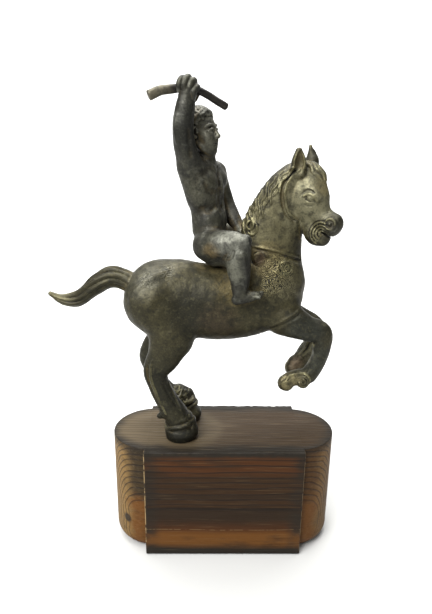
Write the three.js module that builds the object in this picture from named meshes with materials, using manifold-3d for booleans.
import * as THREE from 'three';
import { mergeVertices } from 'three/addons/utils/BufferGeometryUtils.js';
import Module from 'manifold-3d';

// Driving dimensions, in millimetres. X runs along the horse, Y away from the viewer, Z up.
const PLINTH_LENGTH = 159;
const PLINTH_HEIGHT = 84;
const CORE_DEPTH = 58;
const CORE_FOOT_RADIUS = 13;
const PANEL_WIDTH = 110;
const PANEL_PROUD = 5;
const PANEL_EDGE_RADIUS = 2.2;
const WORN_ARRIS = 0.8;
const FIGURE_HEIGHT = 238;
const ROD_BUTT_RADIUS = 3;
const ROD_TIP_RADIUS = 2.15;
const FIT_GAP = 0.3;
const SOLE_GAP = 0.1;

// The figure is laid out in parts, 238 of them from the soles to the top of the raised fist.
// Its points are given in parts, with the height above the plinth's top last.
const PART = FIGURE_HEIGHT / 238;
const HORSE_CELL = 1.5;
const RIDER_CELL = 1.2;
const HORSE_TRIANGLES = 6100;
const RIDER_TRIANGLES = 2900;
const TINY_EDGE = 0.02;
const NEAR = -1;
const FAR = 1;

const wasm = await Module();
wasm.setup();

const lengthOf = (x, y, z) => Math.sqrt(x * x + y * y + z * z);

/** A box in space that holds every given point, grown by a margin on each side. */
function boxAround(points, margin) {
  const box = new THREE.Box3().setFromPoints(points);
  return box.expandByScalar(margin);
}

/**
 * A rounded rod of changing thickness through the given balls, each [x, y, z, radius, flat].
 * Flat, 1 when it is left out, squeezes the section along Y.
 */
function limb(...balls) {
  const spots = balls.map(([x, y, z]) => new THREE.Vector3(x, y, z));
  const curve = new THREE.CatmullRomCurve3(spots, false, 'centripetal');
  const radii = balls.map((ball) => ball[3]);
  const flats = balls.map((ball) => ball[4] ?? 1);
  const steps = balls.length > 2 ? (balls.length - 1) * 4 : 1;
  const blendOf = (values, t) => {
    const place = t * (values.length - 1);
    const index = Math.min(Math.floor(place), values.length - 2);
    return THREE.MathUtils.lerp(values[index], values[index + 1], place - index);
  };
  const joints = [];
  for (let i = 0; i <= steps; i += 1) {
    const t = i / steps;
    const spot = curve.getPoint(t);
    joints.push([spot.x, spot.y, spot.z, blendOf(radii, t), blendOf(flats, t)]);
  }
  const distance = (x, y, z) => {
    let nearest = Infinity;
    for (let i = 0; i < steps; i += 1) {
      const a = joints[i];
      const b = joints[i + 1];
      const bx = b[0] - a[0];
      const by = b[1] - a[1];
      const bz = b[2] - a[2];
      const px = x - a[0];
      const py = y - a[1];
      const pz = z - a[2];
      const length = bx * bx + by * by + bz * bz;
      const t = Math.min(1, Math.max(0, (px * bx + py * by + pz * bz) / length));
      const flat = a[4] + (b[4] - a[4]) * t;
      const gap = lengthOf(px - bx * t, (py - by * t) / flat, pz - bz * t);
      nearest = Math.min(nearest, gap - a[3] - (b[3] - a[3]) * t);
    }
    return nearest;
  };
  return { box: boxAround(spots, Math.max(...radii) * 1.1), distance };
}

/** An ellipsoid with the given centre and radii along X, Y and Z. */
function ball([cx, cy, cz], [rx, ry, rz]) {
  const centre = new THREE.Vector3(cx, cy, cz);
  const distance = (x, y, z) => {
    const px = (x - cx) / rx;
    const py = (y - cy) / ry;
    const pz = (z - cz) / rz;
    const reach = lengthOf(px, py, pz);
    const slope = lengthOf(px / rx, py / ry, pz / rz);
    return slope < 1e-6 ? -Math.min(rx, ry, rz) : (reach * (reach - 1)) / slope;
  };
  const box = new THREE.Box3().setFromCenterAndSize(centre, new THREE.Vector3(2 * rx, 2 * ry, 2 * rz));
  return { box, distance };
}

/** The same form carried into place by a matrix that turns and moves but doesn't stretch. */
function placed(form, matrix) {
  const e = matrix.clone().invert().elements;
  const distance = (x, y, z) => form.distance(
    e[0] * x + e[4] * y + e[8] * z + e[12],
    e[1] * x + e[5] * y + e[9] * z + e[13],
    e[2] * x + e[6] * y + e[10] * z + e[14],
  );
  return { box: form.box.clone().applyMatrix4(matrix), distance };
}

/** A frame at a point, turned about Z and then tipped nose down about its own Y, in degrees. */
function frameAt([x, y, z], yaw, pitch) {
  const turn = new THREE.Euler(0, THREE.MathUtils.degToRad(pitch), THREE.MathUtils.degToRad(yaw), 'ZYX');
  return new THREE.Matrix4().makeRotationFromEuler(turn).setPosition(x, y, z);
}

/** Modelling clay: a signed distance on a grid of parts, negative inside. */
class Clay {
  constructor([low, high], cell) {
    this.low = low;
    this.cell = cell;
    this.count = high.map((value, axis) => Math.ceil((value - low[axis]) / cell) + 1);
    this.field = new Float32Array(this.count[0] * this.count[1] * this.count[2]).fill(100);
  }

  /** Gives each grid point of a box to an action, as its index and its place. */
  visit(box, margin, act) {
    const range = ['x', 'y', 'z'].map((axis, i) => [
      Math.max(0, Math.floor((box.min[axis] - margin - this.low[i]) / this.cell)),
      Math.min(this.count[i] - 1, Math.ceil((box.max[axis] + margin - this.low[i]) / this.cell)),
    ]);
    for (let k = range[2][0]; k <= range[2][1]; k += 1) {
      for (let j = range[1][0]; j <= range[1][1]; j += 1) {
        const row = (k * this.count[1] + j) * this.count[0];
        for (let i = range[0][0]; i <= range[0][1]; i += 1) {
          act(row + i, this.low[0] + i * this.cell, this.low[1] + j * this.cell, this.low[2] + k * this.cell);
        }
      }
    }
  }

  /** Presses a form on, with a fillet of the given width where it meets what is there. */
  add(form, fillet) {
    this.visit(form.box, fillet + 2 * this.cell, (index, x, y, z) => {
      const here = this.field[index];
      const other = form.distance(x, y, z);
      const near = Math.max(fillet - Math.abs(here - other), 0);
      this.field[index] = Math.min(here, other) - (near * near) / (4 * fillet);
    });
    return this;
  }

  /** Scoops a form out, with its rim softened over the given width. */
  cut(form, fillet) {
    this.visit(form.box, fillet + 2 * this.cell, (index, x, y, z) => {
      const here = this.field[index];
      const other = -form.distance(x, y, z);
      const near = Math.max(fillet - Math.abs(here - other), 0);
      this.field[index] = Math.max(here, other) + (near * near) / (4 * fillet);
    });
    return this;
  }

  /** The distance at any place, read between the grid points. */
  at(x, y, z) {
    const place = [x, y, z].map((value, i) => (value - this.low[i]) / this.cell);
    const [i, j, k] = place.map((value, axis) => (
      Math.min(Math.max(Math.floor(value), 0), this.count[axis] - 2)
    ));
    const [u, v, w] = [place[0] - i, place[1] - j, place[2] - k];
    const { lerp } = THREE.MathUtils;
    const along = (dj, dk) => {
      const index = ((k + dk) * this.count[1] + j + dj) * this.count[0] + i;
      return lerp(this.field[index], this.field[index + 1], u);
    };
    return lerp(lerp(along(0, 0), along(1, 0), v), lerp(along(0, 1), along(1, 1), v), w);
  }

  /** The Y of the skin above a point of the side view, seen from the near or the far side. */
  skin(x, z, side) {
    const step = this.cell / 2;
    for (let reach = 34; reach > -10; reach -= step) {
      const here = this.at(x, side * reach, z);
      if (here < 0) {
        const before = this.at(x, side * (reach + step), z);
        return side * (reach + (step * -here) / (before - here));
      }
    }
    return 0;
  }

  /** A rounded cord laid on the skin through points [x, z, radius] of the side view. */
  cordOnSkin(points, side, sink) {
    return limb(...points.map(([x, z, radius]) => [x, this.skin(x, z, side) - side * sink, z, radius]));
  }

  /** Fills each grid face whose inside corners only touch across a diagonal: no edge is shared twice. */
  seal() {
    const [nx, ny, nz] = this.count;
    const strides = [1, nx, nx * ny];
    const planes = [[strides[0], strides[1]], [strides[0], strides[2]], [strides[1], strides[2]]];
    const end = this.field.length - strides[2] - strides[1] - 1;
    for (let changed = true; changed;) {
      changed = false;
      for (let index = 0; index < end; index += 1) {
        for (const [s, t] of planes) {
          const here = this.field[index] < 0;
          const beside = this.field[index + s] < 0;
          if (here === beside) continue;
          if (here !== this.field[index + s + t] < 0 || beside !== this.field[index + t] < 0) continue;
          for (const corner of here ? [index + s, index + t] : [index, index + s + t]) {
            this.field[corner] = -0.05 * this.cell;
          }
          changed = true;
        }
      }
    }
  }

  /** The closed skin, as places in millimetres and triangles of their indices. */
  mesh() {
    const [nx, ny, nz] = this.count;
    const strides = [1, nx, nx * ny];
    const corners = [0, 1, 2, 3, 4, 5, 6, 7].map((bits) => (
      (bits & 1) * strides[0] + ((bits >> 1) & 1) * strides[1] + (bits >> 2) * strides[2]
    ));
    const edges = [
      [0, 1], [2, 3], [4, 5], [6, 7], [0, 2], [1, 3], [4, 6], [5, 7], [0, 4], [1, 5], [2, 6], [3, 7],
    ];
    const everywhere = new THREE.Box3(
      new THREE.Vector3(...this.low),
      new THREE.Vector3(...this.count.map((n, axis) => this.low[axis] + (n - 1) * this.cell)),
    );
    const within = everywhere.clone().expandByScalar(-this.cell / 2);
    const spot = new THREE.Vector3();
    this.visit(everywhere, 0, (index, x, y, z) => {
      if (within.containsPoint(spot.set(x, y, z))) return;
      this.field[index] = Math.max(this.field[index], this.cell / 2);
    });
    this.seal();
    const vertexOf = new Map();
    const places = [];
    for (let k = 0; k < nz - 1; k += 1) {
      for (let j = 0; j < ny - 1; j += 1) {
        for (let i = 0; i < nx - 1; i += 1) {
          const base = i + j * strides[1] + k * strides[2];
          let inside = 0;
          for (const offset of corners) inside += this.field[base + offset] < 0 ? 1 : 0;
          if (inside === 0 || inside === 8) continue;
          const values = corners.map((offset) => this.field[base + offset]);
          const sum = [0, 0, 0];
          let crossings = 0;
          for (const [a, b] of edges) {
            if (values[a] < 0 === values[b] < 0) continue;
            const t = values[a] / (values[a] - values[b]);
            [0, 1, 2].forEach((axis) => {
              const from = (a >> axis) & 1;
              const to = (b >> axis) & 1;
              sum[axis] += from + (to - from) * t;
            });
            crossings += 1;
          }
          vertexOf.set(base, places.length);
          places.push([i, j, k].map((value, axis) => (
            (this.low[axis] + (value + sum[axis] / crossings) * this.cell) * PART
          )));
        }
      }
    }
    const faces = [];
    for (const base of vertexOf.keys()) {
      for (const axis of [0, 1, 2]) {
        const side = strides[(axis + 1) % 3];
        const up = strides[(axis + 2) % 3];
        const here = this.field[base] < 0;
        if (here === this.field[base + strides[axis]] < 0) continue;
        const ring = [base, base - side, base - side - up, base - up].map((cell) => vertexOf.get(cell));
        const [a, b, c, d] = here ? ring : ring.reverse();
        faces.push([a, b, c], [a, c, d]);
      }
    }
    return { places, faces };
  }
}

/** The squared distance from a place to a quadric's planes, weighted by their areas. */
function quadricError(q, [x, y, z]) {
  return q[0] * x * x + 2 * q[1] * x * y + 2 * q[2] * x * z + 2 * q[3] * x
    + q[4] * y * y + 2 * q[5] * y * z + 2 * q[6] * y + q[7] * z * z + 2 * q[8] * z + q[9];
}

/** The place where a quadric is least, or null where it is nearly flat. */
function quadricLow(q) {
  const [a, b, c, d, e, f] = [q[0], q[1], q[2], q[4], q[5], q[7]];
  const [m0, m1, m2] = [d * f - e * e, c * e - b * f, b * e - c * d];
  const determinant = a * m0 + b * m1 + c * m2;
  const trace = a + d + f;
  if (Math.abs(determinant) < 1e-5 * trace * trace * trace) return null;
  const [m3, m4, m5] = [a * f - c * c, b * c - a * e, a * d - b * b];
  return [
    -(m0 * q[3] + m1 * q[6] + m2 * q[8]) / determinant,
    -(m1 * q[3] + m3 * q[6] + m4 * q[8]) / determinant,
    -(m2 * q[3] + m4 * q[6] + m5 * q[8]) / determinant,
  ];
}

/** A queue that gives back the item of least cost first. */
class Queue {
  constructor() {
    this.items = [];
  }

  push(item) {
    const { items } = this;
    let i = items.length;
    items.push(item);
    while (i > 0) {
      const parent = (i - 1) >> 1;
      if (items[parent].cost <= item.cost) break;
      items[i] = items[parent];
      i = parent;
    }
    items[i] = item;
  }

  pop() {
    const { items } = this;
    const top = items[0];
    const last = items.pop();
    const size = items.length;
    if (size === 0) return top;
    let i = 0;
    for (let child = 1; child < size; child = 2 * i + 1) {
      if (child + 1 < size && items[child + 1].cost < items[child].cost) child += 1;
      if (items[child].cost >= last.cost) break;
      items[i] = items[child];
      i = child;
    }
    items[i] = last;
    return top;
  }
}

/**
 * Collapses the edges whose loss shows least until the wanted number of triangles is left, after
 * every edge too short to matter.
 */
function simplified({ places, faces }, wanted) {
  const spots = places.map((place) => [...place]);
  const fans = spots.map(() => []);
  const quadrics = spots.map(() => new Float64Array(10));
  const stamps = new Int32Array(spots.length);
  const alive = new Uint8Array(faces.length).fill(1);
  const normalOf = (p, q, r) => {
    const [ux, uy, uz] = [q[0] - p[0], q[1] - p[1], q[2] - p[2]];
    const [vx, vy, vz] = [r[0] - p[0], r[1] - p[1], r[2] - p[2]];
    return [uy * vz - uz * vy, uz * vx - ux * vz, ux * vy - uy * vx];
  };
  faces.forEach((face, index) => {
    const [p, q, r] = face.map((corner) => spots[corner]);
    const normal = normalOf(p, q, r);
    const area = lengthOf(...normal);
    const [x, y, z] = normal.map((value) => value / Math.max(area, 1e-12));
    const w = -(x * p[0] + y * p[1] + z * p[2]);
    const terms = [x * x, x * y, x * z, x * w, y * y, y * z, y * w, z * z, z * w, w * w];
    for (const corner of face) {
      fans[corner].push(index);
      for (let i = 0; i < 10; i += 1) quadrics[corner][i] += terms[i] * area;
    }
  });
  const neighbours = (corner) => {
    const around = new Set();
    for (const face of fans[corner]) for (const other of faces[face]) around.add(other);
    around.delete(corner);
    return around;
  };
  const queue = new Queue();
  const offer = (a, b) => {
    const q = quadrics[a].map((value, i) => value + quadrics[b][i]);
    const [p, r] = [spots[a], spots[b]];
    const middle = [(p[0] + r[0]) / 2, (p[1] + r[1]) / 2, (p[2] + r[2]) / 2];
    const length = lengthOf(p[0] - r[0], p[1] - r[1], p[2] - r[2]);
    const low = quadricLow(q);
    let spot = middle;
    if (low && lengthOf(low[0] - middle[0], low[1] - middle[1], low[2] - middle[2]) < length) spot = low;
    const tiny = length < TINY_EDGE;
    const cost = tiny ? length - TINY_EDGE : Math.max(quadricError(q, spot), 0) + 1e-5 * length * length;
    queue.push({ a, b, spot: tiny ? middle : spot, q, cost, stamp: stamps[a] + stamps[b] });
  };
  for (let a = 0; a < spots.length; a += 1) {
    for (const b of neighbours(a)) if (a < b) offer(a, b);
  }
  const turnsOver = (corner, other, spot) => fans[corner].some((index) => {
    const face = faces[index];
    if (face.includes(other)) return false;
    const before = normalOf(...face.map((each) => spots[each]));
    const after = normalOf(...face.map((each) => (each === corner ? spot : spots[each])));
    const [size, newSize] = [lengthOf(...before), lengthOf(...after)];
    const dot = before[0] * after[0] + before[1] * after[1] + before[2] * after[2];
    return size > TINY_EDGE && dot < 0.3 * size * newSize;
  });
  let left = faces.length;
  while (queue.items.length > 0 && (left > wanted || queue.items[0].cost < 0)) {
    const { a, b, spot, q, stamp } = queue.pop();
    if (stamp !== stamps[a] + stamps[b] || fans[a].length === 0 || fans[b].length === 0) continue;
    const around = neighbours(b);
    const shared = [...neighbours(a)].filter((corner) => around.has(corner));
    if (shared.length !== 2 || turnsOver(a, b, spot) || turnsOver(b, a, spot)) continue;
    spots[a] = spot;
    quadrics[a] = q;
    for (const index of fans[b]) {
      if (faces[index].includes(a)) {
        alive[index] = 0;
        left -= 1;
        for (const corner of faces[index]) {
          if (corner !== b) fans[corner] = fans[corner].filter((face) => face !== index);
        }
      } else {
        faces[index] = faces[index].map((corner) => (corner === b ? a : corner));
        fans[a].push(index);
      }
    }
    fans[b] = [];
    stamps[a] += 1;
    for (const other of neighbours(a)) offer(a, other);
  }
  return { places: spots, faces: faces.filter((_, index) => alive[index]) };
}

/** A solid from places and triangles. */
function solidFrom({ places, faces }) {
  const used = [...new Set(faces.flat())];
  const order = new Map(used.map((corner, index) => [corner, index]));
  const vertProperties = new Float32Array(used.flatMap((corner) => places[corner]));
  const triVerts = new Uint32Array(faces.flat().map((corner) => order.get(corner)));
  return new wasm.Manifold(new wasm.Mesh({ numProp: 3, vertProperties, triVerts }));
}

/** A solid from a closed three.js geometry. */
function solidOf(geometry) {
  const bare = geometry.clone();
  bare.deleteAttribute('normal');
  bare.deleteAttribute('uv');
  const merged = mergeVertices(bare, 1e-4);
  const triVerts = new Uint32Array(merged.index.array);
  const vertProperties = new Float32Array(merged.attributes.position.array);
  return new wasm.Manifold(new wasm.Mesh({ numProp: 3, vertProperties, triVerts }));
}

/** A three.js geometry from a solid, without the tiny edges that a cut leaves. */
function geometryOf(solid) {
  const { vertProperties, triVerts, numProp } = solid.getMesh();
  const places = Array.from({ length: vertProperties.length / numProp }, (_, i) => (
    [...vertProperties.subarray(i * numProp, i * numProp + 3)]
  ));
  const faces = Array.from({ length: triVerts.length / 3 }, (_, i) => (
    [...triVerts.subarray(3 * i, 3 * i + 3)]
  ));
  const clean = simplified({ places, faces }, faces.length);
  const geometry = new THREE.BufferGeometry();
  geometry.setAttribute('position', new THREE.Float32BufferAttribute(clean.places.flat(), 3));
  geometry.setIndex(clean.faces.flat());
  geometry.computeVertexNormals();
  return geometry;
}

/** The same geometry with its skin moved out by a distance. */
function grown(geometry, distance) {
  const copy = geometry.clone();
  const { position, normal } = copy.attributes;
  for (let i = 0; i < position.count; i += 1) {
    position.setXYZ(
      i,
      position.getX(i) + normal.getX(i) * distance,
      position.getY(i) + normal.getY(i) * distance,
      position.getZ(i) + normal.getZ(i) * distance,
    );
  }
  return copy;
}

/** A closed geometry lofted through rings of equally many places, capped at both ends. */
function lofted(rings) {
  const sides = rings[0].length;
  const middles = [rings[0], rings.at(-1)].map((ring) => (
    ring.reduce((sum, place) => sum.add(place), new THREE.Vector3()).divideScalar(sides)
  ));
  const places = [...rings.flat(), ...middles];
  const index = [];
  for (let i = 0; i < sides; i += 1) {
    const next = (i + 1) % sides;
    for (let ring = 0; ring < rings.length - 1; ring += 1) {
      const low = ring * sides;
      const high = low + sides;
      index.push(low + i, low + next, high + next, low + i, high + next, high + i);
    }
    const last = (rings.length - 1) * sides;
    index.push(places.length - 2, next, i, places.length - 1, last + i, last + next);
  }
  const geometry = new THREE.BufferGeometry().setFromPoints(places);
  geometry.setIndex(index);
  return geometry;
}

/** The round-ended wooden block, with its lower ends rounded under and a panel front and back. */
function plinth() {
  const endSteps = 10;
  const outline = (inset, height) => {
    const radius = CORE_DEPTH / 2 - inset;
    const centre = PLINTH_LENGTH / 2 - CORE_DEPTH / 2;
    const ring = [];
    for (const end of [1, -1]) {
      for (let i = 0; i <= endSteps; i += 1) {
        const angle = end * (Math.PI * i / endSteps - Math.PI / 2);
        const across = radius * Math.sin(angle) * (end === 1 ? 1 : -1);
        ring.push(new THREE.Vector3(end * (centre + radius * Math.cos(angle)), end * across, height));
      }
    }
    return ring;
  };
  const rings = [];
  const footSteps = 4;
  for (let i = 0; i <= footSteps; i += 1) {
    const angle = (Math.PI / 2) * (i / footSteps);
    const inset = CORE_FOOT_RADIUS * (1 - Math.sin(angle));
    rings.push(outline(inset, CORE_FOOT_RADIUS * (1 - Math.cos(angle))));
  }
  rings.push(outline(0, PLINTH_HEIGHT - WORN_ARRIS), outline(WORN_ARRIS, PLINTH_HEIGHT));
  const core = solidOf(lofted(rings));
  const depth = CORE_DEPTH + 2 * PANEL_PROUD;
  const half = new THREE.Vector2(PANEL_WIDTH / 2, PLINTH_HEIGHT / 2);
  const r = PANEL_EDGE_RADIUS;
  const face = new THREE.Shape();
  face.moveTo(-half.x + r, -half.y);
  face.lineTo(half.x - r, -half.y);
  face.absarc(half.x - r, -half.y + r, r, -Math.PI / 2, 0);
  face.lineTo(half.x, half.y);
  face.lineTo(-half.x, half.y);
  face.lineTo(-half.x, -half.y + r);
  face.absarc(-half.x + r, -half.y + r, r, Math.PI, 1.5 * Math.PI);
  const slab = new THREE.ExtrudeGeometry(face, {
    depth: depth - 2 * r,
    bevelThickness: r,
    bevelSize: WORN_ARRIS,
    bevelOffset: -WORN_ARRIS,
    bevelSegments: 2,
    curveSegments: 2,
  });
  slab.translate(0, 0, -(depth - 2 * r) / 2).rotateX(Math.PI / 2).translate(0, 0, half.y);
  return core.add(solidOf(slab));
}

/** The rod's centre line, from the sawn butt behind the fist to the rounded tip before it. */
const ROD_LINE = [
  [-46.6, -25, 224.3], [-39.7, -23, 227.3], [-31.2, -20, 228.6], [-24.5, -18.5, 229.3],
  [-17.4, -17, 227.6], [-9.5, -14.6, 223.6], [-1.6, -12, 219.2],
];

/** The bent rod, in millimetres, with its skin moved out by a clearance. */
function rodGeometry(clearance) {
  const sides = 9;
  const steps = 9;
  const curve = new THREE.CatmullRomCurve3(ROD_LINE.map((place) => (
    new THREE.Vector3(...place).multiplyScalar(PART)
  )));
  const rings = [];
  const ringAt = (t, radius, shift) => {
    const ahead = curve.getTangentAt(t);
    const across = new THREE.Vector3(0, 1, 0).cross(ahead).normalize();
    const other = ahead.clone().cross(across);
    const centre = curve.getPointAt(t).addScaledVector(ahead, shift);
    return Array.from({ length: sides }, (_, i) => {
      const angle = (2 * Math.PI * i) / sides;
      return centre.clone()
        .addScaledVector(across, radius * Math.cos(angle))
        .addScaledVector(other, radius * Math.sin(angle));
    });
  };
  rings.push(ringAt(0, ROD_BUTT_RADIUS * 0.8 + clearance, -clearance));
  for (let i = 0; i <= steps; i += 1) {
    const t = 0.02 + 0.98 * (i / steps);
    const radius = THREE.MathUtils.lerp(ROD_BUTT_RADIUS, ROD_TIP_RADIUS, Math.min(1, t * 1.8));
    rings.push(ringAt(t, radius + clearance, 0));
  }
  rings.push(ringAt(1, (ROD_TIP_RADIUS + clearance) * 0.7, ROD_TIP_RADIUS * 0.6 + clearance));
  return lofted(rings);
}

/** The horse's barrel, chest, rump and neck. */
function bodyOfHorse(clay) {
  clay.add(limb(
    [-46, 0, 99, 22.5, 0.9], [-25, 0, 97.5, 25.2, 0.86], [0, 0, 96.5, 26.2, 0.85],
    [21, 0, 101, 25.3, 0.78], [31, 0, 109, 21, 0.76],
  ), 1);
  clay.add(limb([-43, 0, 105, 19.6, 0.9], [-33, 0, 105, 19.6, 0.9]), 6);
  clay.add(limb([12, 0, 112, 20, 0.6], [13, 0, 126, 12, 0.62]), 10);
  clay.add(limb(
    [29, 0, 112, 23, 0.7], [29, 0, 126, 20.6, 0.68], [30, -0.5, 139, 19, 0.64], [31, -1, 150, 17.8, 0.6],
    [32.5, -1, 160, 15.4, 0.62], [36, -1, 172, 11.4, 0.78], [41, -1, 179, 9, 0.9],
  ), 4);
  for (const side of [NEAR, FAR]) {
    clay.add(limb(
      [-48, side * 9, 97, 19, 0.85], [-36, side * 12, 84, 16.5, 0.7], [-34, side * 14, 74, 12.5, 0.8],
    ), 5);
    clay.add(limb(
      [20, side * 8, 112, 15, 0.7], [32, side * 9, 96, 14, 0.75], [36, side * 11, 87, 11.5, 0.8],
    ), 5);
  }
}

/** The hind legs, hoof soles reaching below the plinth's top, where they are cut flat. */
function hindLegs(clay) {
  clay.add(limb(
    [-36, -14.5, 78, 14.5, 0.72], [-39.5, -15, 63.5, 12.2, 0.72], [-46.4, -15, 51.8, 9, 0.78],
    [-45.6, -14.6, 43, 7.4, 0.86], [-42.6, -14, 35, 7.6, 0.86], [-38.6, -13.5, 26.5, 7.9, 0.9],
    [-34, -13, 18.5, 8.4, 1], [-31.4, -12.6, 11.5, 8.4, 1],
  ), 3);
  clay.add(limb(
    [-37, 14.5, 78, 14.5, 0.72], [-44, 15.5, 64, 12, 0.72], [-52.4, 16, 50, 8.8, 0.78],
    [-50.6, 16, 41, 7.2, 0.86], [-46.6, 16.4, 32, 7, 0.86], [-39, 16.8, 22.6, 7.4, 0.95],
    [-32, 17, 16.6, 8.2, 1], [-29.2, 17, 11, 8.2, 1],
  ), 3);
  for (const [x, y] of [[-30.8, -12.2], [-28.6, 17]]) {
    clay.add(limb([x, y, 8.5, 8.8], [x, y, -6, 11.4]), 1);
    for (const [height, radius] of [[15.4, 9], [11.6, 9.6]]) {
      const lean = (height - 9) * 0.22;
      const band = Array.from({ length: 9 }, (_, i) => {
        const angle = (Math.PI * i) / 4;
        const [ahead, across] = [Math.cos(angle), Math.sin(angle)];
        return [x - lean + radius * ahead, y + radius * across, height + ahead, 1.4];
      });
      clay.add(limb(...band), 1);
    }
  }
  // Tufts behind the fetlocks.
  clay.add(limb([-38, -13, 20.5, 5], [-45.4, -14, 17, 1.8]), 2);
  clay.add(limb([-38, 17, 20, 5], [-45, 17.5, 16, 1.8]), 2);
  clay.add(limb([-33, 17, 21.5, 5], [-26.4, 17, 18.4, 4.4]), 2);
  // The hollow between the bone and the sinew of the near leg.
  clay.cut(limb(
    [-50.7, -22.6, 54, 1.2], [-50, -21.6, 43, 1.2], [-45.7, -21, 32, 1.2], [-41, -21, 23, 1.2],
  ), 1.5);
}

/** The two raised forelegs, the far one a little more bent. */
function foreLegs(clay) {
  clay.add(limb(
    [37, -12, 88, 12.5, 0.8], [45, -12.5, 85, 10.6, 0.85], [54, -12.5, 82, 8.6, 0.9],
    [63.4, -12, 78.4, 7.7, 0.92], [65, -12, 70, 5.9], [63.6, -12, 62, 4.9], [60, -12, 53.5, 4.6],
    [56.6, -12, 47.6, 5.2],
  ), 3);
  clay.add(limb([56.4, -12, 47, 5], [51, -12, 47, 5], [47.6, -12, 45.6, 5.4]), 1.5);
  clay.add(limb([56.6, -12, 45, 3.6], [54, -12, 42, 4]), 1);
  clay.add(limb(
    [37, 12, 88, 12.5, 0.8], [47, 12.5, 86, 10.4, 0.85], [57, 12.5, 83, 8.4, 0.9],
    [64.4, 12, 77, 7.6, 0.92], [64.8, 12, 68.5, 6.4], [63.2, 12, 60.5, 6.2], [58.4, 12, 53.6, 5.9],
    [53, 12, 49.4, 5.4],
  ), 3);
  clay.add(limb([52, 12, 49, 5.2], [49.6, 12, 44.4, 5.4]), 1.5);
  for (const [x, y, z, tipX, tipZ] of [[47.4, -12, 45.4, 40.2, 41.2], [49.4, 12, 46, 46, 37]]) {
    const down = new THREE.Vector2(tipX - x, tipZ - z).normalize();
    clay.add(limb([x, y, z, 6], [tipX - down.x * 3, y, tipZ - down.y * 3, 7.6]), 1);
    const reach = 20;
    clay.cut(limb(
      [tipX + down.x * reach, y, tipZ + down.y * reach, reach - 0.6],
      [tipX + down.x * (reach + 1), y, tipZ + down.y * (reach + 1), reach - 0.6],
    ), 0.6);
  }
}

/** The head, built level at its own centre and carried into place nose down. */
function headOfHorse(clay) {
  const frame = frameAt([49.5, -3, 167.5], -31, 36);
  const at = (form) => placed(form, frame);
  clay.add(at(ball([-1.4, 0, -0.8], [16.6, 10.8, 16])), 0.8);
  clay.add(at(ball([-3, 0, 8], [12.5, 9, 9.6])), 3);
  clay.add(at(limb([3, 0, 3, 9, 0.85], [13, 0, -2, 7.4, 0.85], [20, 0, -3.4, 7.2, 0.9])), 4);
  clay.add(at(ball([25, 0, -3.2], [7.8, 7, 7.8])), 2);
  clay.add(at(limb([5, 0, -7, 7.6, 0.85], [16, 0, -11.6, 6.2, 0.8], [24.4, 0, -13.4, 6.4, 0.9])), 2);
  clay.add(at(limb([-13, 0, 12, 4], [-7, 0, 15.5, 3.6], [1, 0, 14.8, 2.8], [5, 0, 11.6, 1.4])), 2);
  clay.cut(at(limb([18, 0, -8.4, 0.7, 12], [34, 0, -8.8, 1.3, 12])), 0.8);
  for (const side of [NEAR, FAR]) {
    const brow = [[-1, 7.8, 5.8, 1.8], [3.6, 8.4, 8, 2.4], [9.4, 7, 6.8, 2.2]];
    clay.add(at(limb(...brow.map(([x, y, z, r]) => [x, side * y, z, r]))), 1.5);
    clay.add(at(ball([4.2, side * 8.4, 3.2], [3.5, 2.6, 2.8])), 0.6);
    const lid = [[0.4, 8.8, 1, 1], [4.4, 9.2, -0.4, 1.1], [8.4, 7.8, 1.2, 0.9]];
    clay.add(at(limb(...lid.map(([x, y, z, r]) => [x, side * y, z, r]))), 1);
    clay.add(at(ball([25.2, side * 5.6, -1.8], [4.4, 2.8, 4.2])), 1);
    clay.cut(at(limb([25.8, side * 8.6, -2, 1.6], [25.2, side * 4, -1.4, 1])), 0.6);
    for (const [reach, thick] of [[4.2, 1.2], [7, 1.2]]) {
      const fold = [-1.1, 0, 1.1].map((angle) => (
        [24.6 - reach * Math.cos(angle), side * (7.2 - 0.2 * reach), -9 + reach * Math.sin(angle), thick]
      ));
      clay.add(at(limb(...fold)), 0.8);
    }
    const forward = side === NEAR ? 0 : 2.4;
    const ear = [[-11.6, 8, 11, 4.6], [-14.6, 9.4, 16, 4.7], [-19.6, 9.6, 22.2, 2]];
    clay.add(at(limb(...ear.map(([x, y, z, r]) => [x + forward, side * y, z, r]))), 1.5);
    const cup = [[-9.6, 12, 14, 2.2], [-12.2, 12.2, 18.2, 2.6], [-17, 11, 23.4, 1]];
    clay.cut(at(limb(...cup.map(([x, y, z, r]) => [x + forward, side * y, z, r]))), 0.8);
  }
}

/** The tail: a bundle of strands that swell, sink and rise to a point. */
function tail(clay) {
  const core = [
    [-62, 0, 108, 8], [-67, 0, 111, 7], [-76.5, 0, 113, 7.2], [-87, 0, 107.6, 7.4], [-99.5, 0, 97.8, 5.8],
    [-110.5, 0, 97, 3.8], [-118.5, 0, 101, 1.8],
  ];
  clay.add(limb(...core.map(([x, y, z, r]) => [x, y, z, r * 0.66])), 2);
  const strands = 7;
  for (let strand = 0; strand < strands; strand += 1) {
    clay.add(limb(...core.map(([x, y, z, r], i) => {
      const angle = (2 * Math.PI * strand) / strands + i * 0.32;
      return [x, y + 0.66 * r * Math.sin(angle), z + 0.66 * r * Math.cos(angle), 0.38 * r];
    })), 0.2);
  }
}

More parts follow.
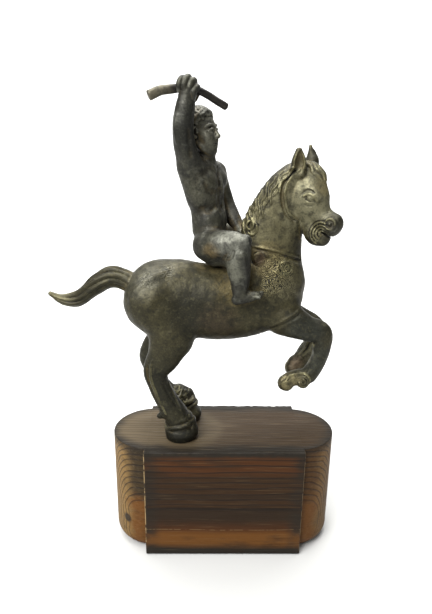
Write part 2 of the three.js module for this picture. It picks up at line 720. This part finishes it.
/** Wavy locks that fall from the crest on both sides, with a spiral curl at the lowest. */
function mane(clay) {
  const spots = (...points) => points.map(([x, z]) => new THREE.Vector3(x, 0, z));
  const crest = new THREE.CatmullRomCurve3(spots(
    [12, 141], [11.4, 148], [13.4, 155], [18.4, 164], [24.6, 172.6], [32, 180], [39, 184],
  ));
  const edge = new THREE.CatmullRomCurve3(spots(
    [15, 138], [20.5, 145], [25.4, 155], [29, 164], [31.6, 171], [36, 178], [42, 183],
  ));
  const locks = 9;
  clay.add(limb(...crest.getPoints(8).map(({ x, z }) => [x, -0.6, z, 3.2])), 1);
  for (const side of [NEAR, FAR]) {
    for (let lock = 0; lock < locks; lock += 1) {
      const t = 0.08 + (0.9 * lock) / (locks - 1);
      const root = crest.getPointAt(t);
      const tip = edge.getPointAt(Math.max(0, t - 0.1));
      const away = new THREE.Vector3().subVectors(tip, root);
      const lean = new THREE.Vector3(-away.z, 0, away.x).multiplyScalar(0.24);
      const wavy = [0, 0.28, 0.55, 0.8, 1].map((s, i) => {
        const wave = [0, 1, -0.5, -1, 0.6][i];
        const spot = root.clone().addScaledVector(away, s).addScaledVector(lean, wave);
        return [spot.x, spot.z, [1.8, 2.3, 2.3, 1.9, 1][i]];
      });
      clay.add(clay.cordOnSkin(wavy, side, 0), 0.4);
    }
    const curl = Array.from({ length: 8 }, (_, i) => {
      const angle = 2.2 - i * 0.85;
      const reach = 4.6 - i * 0.5;
      return [17.4 + reach * Math.cos(angle), 146 + reach * Math.sin(angle), 1.2];
    });
    clay.add(clay.cordOnSkin(curl, side, -0.2), 0.3);
  }
}

/** The breast strap, two ribs on each side that meet across the chest. */
function strap(clay) {
  for (const side of [NEAR, FAR]) {
    clay.add(clay.cordOnSkin([
      [15, 139, 1.2], [24, 137.5, 1.2], [33, 135.6, 1.2], [41, 133.2, 1.2], [46.5, 131, 1.2],
    ], side, -0.1), 0.4);
    clay.add(clay.cordOnSkin([
      [18, 135.8, 0.9], [26, 133.4, 0.9], [34, 131, 0.9], [41.5, 128.6, 0.9], [46.5, 127, 0.9],
    ], side, 0), 0.4);
  }
}

/** The whole horse, with flat soles on its hind hooves. */
function horse() {
  const clay = new Clay([[-124, -34, -8], [80, 34, 204]], HORSE_CELL);
  bodyOfHorse(clay);
  hindLegs(clay);
  foreLegs(clay);
  headOfHorse(clay);
  tail(clay);
  mane(clay);
  strap(clay);
  const ground = new THREE.BoxGeometry(400, 400, 100).translate(0, 0, -50 + SOLE_GAP);
  return solidFrom(simplified(clay.mesh(), HORSE_TRIANGLES)).subtract(solidOf(ground));
}

/** The rider's trunk, turned from the saddle so that the chest faces the viewer's side. */
function trunkOfRider(clay) {
  clay.add(ball([-10, -1, 137.5], [10.6, 14, 10.6]), 1);
  clay.add(placed(ball([0, 0, 0], [9.4, 12, 13]), frameAt([-10.4, -1, 151], -16, -4)), 5);
  clay.add(placed(ball([0, 0, 0], [9.4, 14.2, 15]), frameAt([-13.6, -1, 170.5], -34, 4)), 6);
  clay.add(limb([-22.5, -11, 184, 7.4], [-15, -1.5, 184, 7.2], [-8.4, 9.6, 180.4, 6.8]), 4);
  clay.add(limb([-24.6, -13, 186, 6.6], [-22.4, -9.6, 176, 6.8], [-19, -7, 166, 6.4]), 4);
  clay.add(limb([-14.6, -2, 186, 6.6], [-14.4, -3, 195, 6.2]), 3);
  const chest = frameAt([-13.6, -1, 170.5], -34, 4);
  for (const side of [NEAR, FAR]) {
    clay.add(placed(ball([4.8, side * 6.6, 6.6], [4, 7.4, 5]), chest), 4);
    clay.add(placed(ball([-5, side * 7.6, 5], [4.4, 6, 9]), chest), 3);
    clay.add(ball([-15.4, side * 7.6 - 1, 134.6], [6.8, 7.6, 8]), 3);
  }
  clay.cut(placed(limb([11, 0, 11, 0.9], [11.6, 0, 2, 0.9], [10.6, 0, -12, 0.7]), chest), 1.5);
  clay.cut(placed(limb([-9.8, 0, 10, 0.9], [-10, 0, -8, 0.9], [-9, 0, -20, 0.9]), chest), 1.5);
}

/** The head with its short wavy hair and a calm, evenly spaced face. */
function headOfRider(clay) {
  const frame = frameAt([-16.6, -3.5, 206.3], -26, -5);
  const at = (form) => placed(form, frame);
  clay.add(at(ball([-2, 0, 2.2], [10.5, 9, 10.8])), 1.5);
  clay.add(at(ball([2.6, 0, -4.6], [7.4, 7, 10])), 3);
  clay.add(at(ball([6.6, 0, -12.4], [2.4, 2.8, 2.2])), 2);
  clay.add(at(limb([8.6, 0, 1.2, 1], [10.2, 0, -2.4, 1.2], [10.8, 0, -4.2, 1.5])), 1);
  clay.add(at(limb([8.6, 0, -8.2, 1.1, 2.4], [8.5, 0, -9, 1.2, 2.2])), 0.8);
  for (const side of [NEAR, FAR]) {
    clay.cut(at(ball([9.4, side * 3.8, -0.6], [2.2, 2.5, 1.6])), 1);
    clay.add(at(ball([7.2, side * 3.8, -0.7], [1.6, 1.9, 1.3])), 0.3);
    const brow = [[9, 1.6, 2, 0.9], [8.4, 5, 2.2, 0.9], [6.2, 7, 1, 0.7]];
    clay.add(at(limb(...brow.map(([x, y, z, r]) => [x, side * y, z, r]))), 0.8);
    const ear = [[-0.6, 9.2, 1.6, 1.2], [-1.6, 9.6, -1, 1.6], [-0.2, 8.8, -3.8, 1]];
    clay.add(at(limb(...ear.map(([x, y, z, r]) => [x, side * y, z, r]))), 0.6);
  }
  const rows = [[0.1, 5], [0.42, 9], [0.72, 12], [1, 14], [1.28, 9]];
  for (const [polar, count] of rows) {
    for (let i = 0; i < count; i += 1) {
      const turn = (2 * Math.PI * (i + 0.5 * (polar > 0.5 ? 1 : 0))) / count;
      const along = Math.cos(turn);
      if (polar > 1.1 && along > 0.1) continue;
      const tilt = polar * (1.15 + 0.1 * Math.sin(3 * turn));
      const spot = (extra, drift) => [
        -2.2 + 10.2 * Math.sin(tilt + extra) * Math.cos(turn + drift),
        9 * Math.sin(tilt + extra) * Math.sin(turn + drift),
        3 + 10.8 * Math.cos(tilt + extra),
      ];
      const lock = [[...spot(-0.16, 0), 1.6], [...spot(0.05, 0.22), 1.9], [...spot(0.24, 0.05), 1.1]];
      clay.add(at(limb(...lock)), 0.5);
    }
  }
}

/** The raised arm, closed round the rod, and the arm that hangs to the mane. */
function armsOfRider(clay) {
  clay.add(limb(
    [-22.8, -12.4, 185, 7.2], [-25.8, -16, 194, 6.7], [-27.4, -19, 205, 6.2], [-27.2, -20, 211, 6.1],
    [-26, -20, 219, 5.6], [-25.2, -19.5, 224.5, 4.9],
  ), 3);
  clay.add(ball([-24.8, -18.8, 229.6], [6.2, 6.4, 6.6]), 2);
  for (let finger = 0; finger < 4; finger += 1) {
    const x = -29.4 + finger * 3;
    clay.add(limb([x, -24.6, 227.4, 1.7], [x + 0.4, -23.4, 232.4, 1.8], [x + 0.6, -18, 234.6, 1.8]), 0.5);
  }
  clay.add(limb([-20, -22, 226, 2], [-19.4, -18, 230.6, 2], [-22, -14.4, 232, 1.8]), 0.8);
  clay.add(limb(
    [-8, 10.4, 180.6, 6.8], [-5, 13.6, 173.6, 6], [-1.4, 15, 164.6, 5.2], [1, 14.2, 159.6, 4.8],
    [5, 9.6, 152.4, 4.2], [8, 5.5, 146.6, 3.6],
  ), 3);
  clay.add(ball([9.6, 3.6, 144], [4.4, 4.6, 3.4]), 2);
}

/** The legs, bent at the knee and pressed against the horse's sides. */
function legsOfRider(clay) {
  for (const side of [NEAR, FAR]) {
    clay.add(limb(
      [-12, side * 10, 136.5, 10], [-4, side * 18.5, 139, 8.6], [3, side * 22.6, 140.4, 7.6],
      [6.8, side * 24, 139, 7.2], [6.4, side * 24.4, 131, 7.8], [7.2, side * 24.2, 124, 7.4],
      [8.6, side * 24, 116.5, 5.2], [9, side * 24.2, 111.6, 4.2],
    ), 3);
    clay.add(limb(
      [6.2, side * 24, 106.2, 3.6], [11, side * 24.6, 107.4, 3.9], [16, side * 25.4, 107.8, 3.2],
      [19.4, side * 26, 108, 2.5],
    ), 1.5);
    clay.add(limb([18.6, side * 27, 107, 1.6], [20.8, side * 27.4, 107.2, 1.3]), 0.6);
    clay.add(ball([10.4, side * 26.6, 143.2], [4, 3.4, 3.6]), 2);
  }
}

/** The whole rider, hollowed to the horse's back and bored for the rod. */
function rider(horseGeometry) {
  const clay = new Clay([[-40, -40, 98], [30, 40, 242]], RIDER_CELL);
  trunkOfRider(clay);
  headOfRider(clay);
  armsOfRider(clay);
  legsOfRider(clay);
  return solidFrom(simplified(clay.mesh(), RIDER_TRIANGLES))
    .subtract(solidOf(grown(horseGeometry, FIT_GAP)))
    .subtract(solidOf(rodGeometry(FIT_GAP)));
}

const finish = (color, roughness, metalness) => (
  new THREE.MeshStandardMaterial({ color, roughness, metalness })
);

/** A named piece of the object. */
function piece(name, geometry, material) {
  const mesh = new THREE.Mesh(geometry, material);
  mesh.name = name;
  return mesh;
}

const group = new THREE.Group();
group.add(piece('plinth', geometryOf(plinth()), finish(0x5a3a24, 0.6, 0)));

const figure = new THREE.Group();
figure.position.z = PLINTH_HEIGHT;
const horseGeometry = geometryOf(horse());
figure.add(piece('horse', horseGeometry, finish(0x4c4a36, 0.45, 0.8)));
figure.add(piece('rider', geometryOf(rider(horseGeometry)), finish(0x3a3a34, 0.4, 0.8)));
figure.add(piece('rod', rodGeometry(0), finish(0x2a2620, 0.5, 0.6)));
group.add(figure);

export default group;
